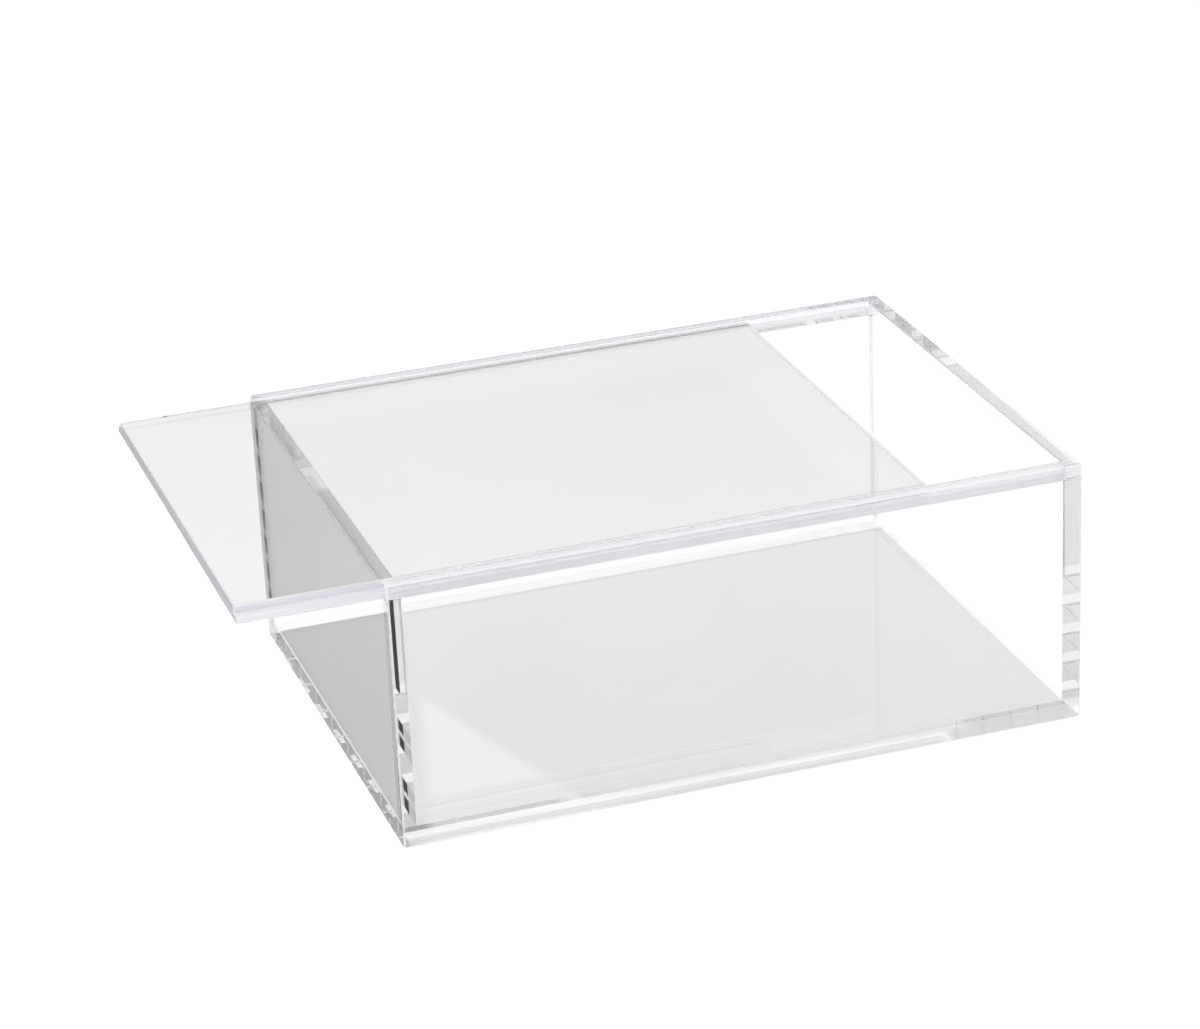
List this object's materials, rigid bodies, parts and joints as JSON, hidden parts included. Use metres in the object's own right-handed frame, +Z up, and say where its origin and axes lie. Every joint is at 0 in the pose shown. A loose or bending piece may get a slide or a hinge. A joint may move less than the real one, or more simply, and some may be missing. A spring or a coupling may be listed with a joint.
{
  "type": "book display case",
  "caption": "Clear acrylic box for showing a book lying flat, with a stepped lid that slides lengthwise in grooves under rim strips and lies flush with them.",
  "frame": {"origin": "centre of the case's flat underside, lid not counted", "axes": "+X along the case's length towards the closed end, so the lid slides out along -X; +Y towards the back; +Z up"},
  "size_m": [0.336, 0.208, 0.109],
  "materials": {
    "case_acrylic": "clear cast acrylic sheet, polished faces and edges",
    "rim_acrylic": "clear cast acrylic strip, polished",
    "lid_acrylic": "clear cast acrylic sheet, polished faces, fine-sawn and polished edges"
  },
  "bodies": {
    "case": {"base_panel": "case_acrylic", "front_wall": "case_acrylic", "back_wall": "case_acrylic", "left_end_wall": "case_acrylic", "right_end_wall": "case_acrylic", "front_rail": "rim_acrylic", "back_rail": "rim_acrylic", "end_rail": "rim_acrylic"},
    "lid": {"sliding_lid": "lid_acrylic"}
  },
  "joints": [
    {"name": "lid_slide", "type": "slide", "parent": "case", "child": "lid", "axis": [-1, 0, 0], "range_m": [-0.056, 0.218]}
  ]
}
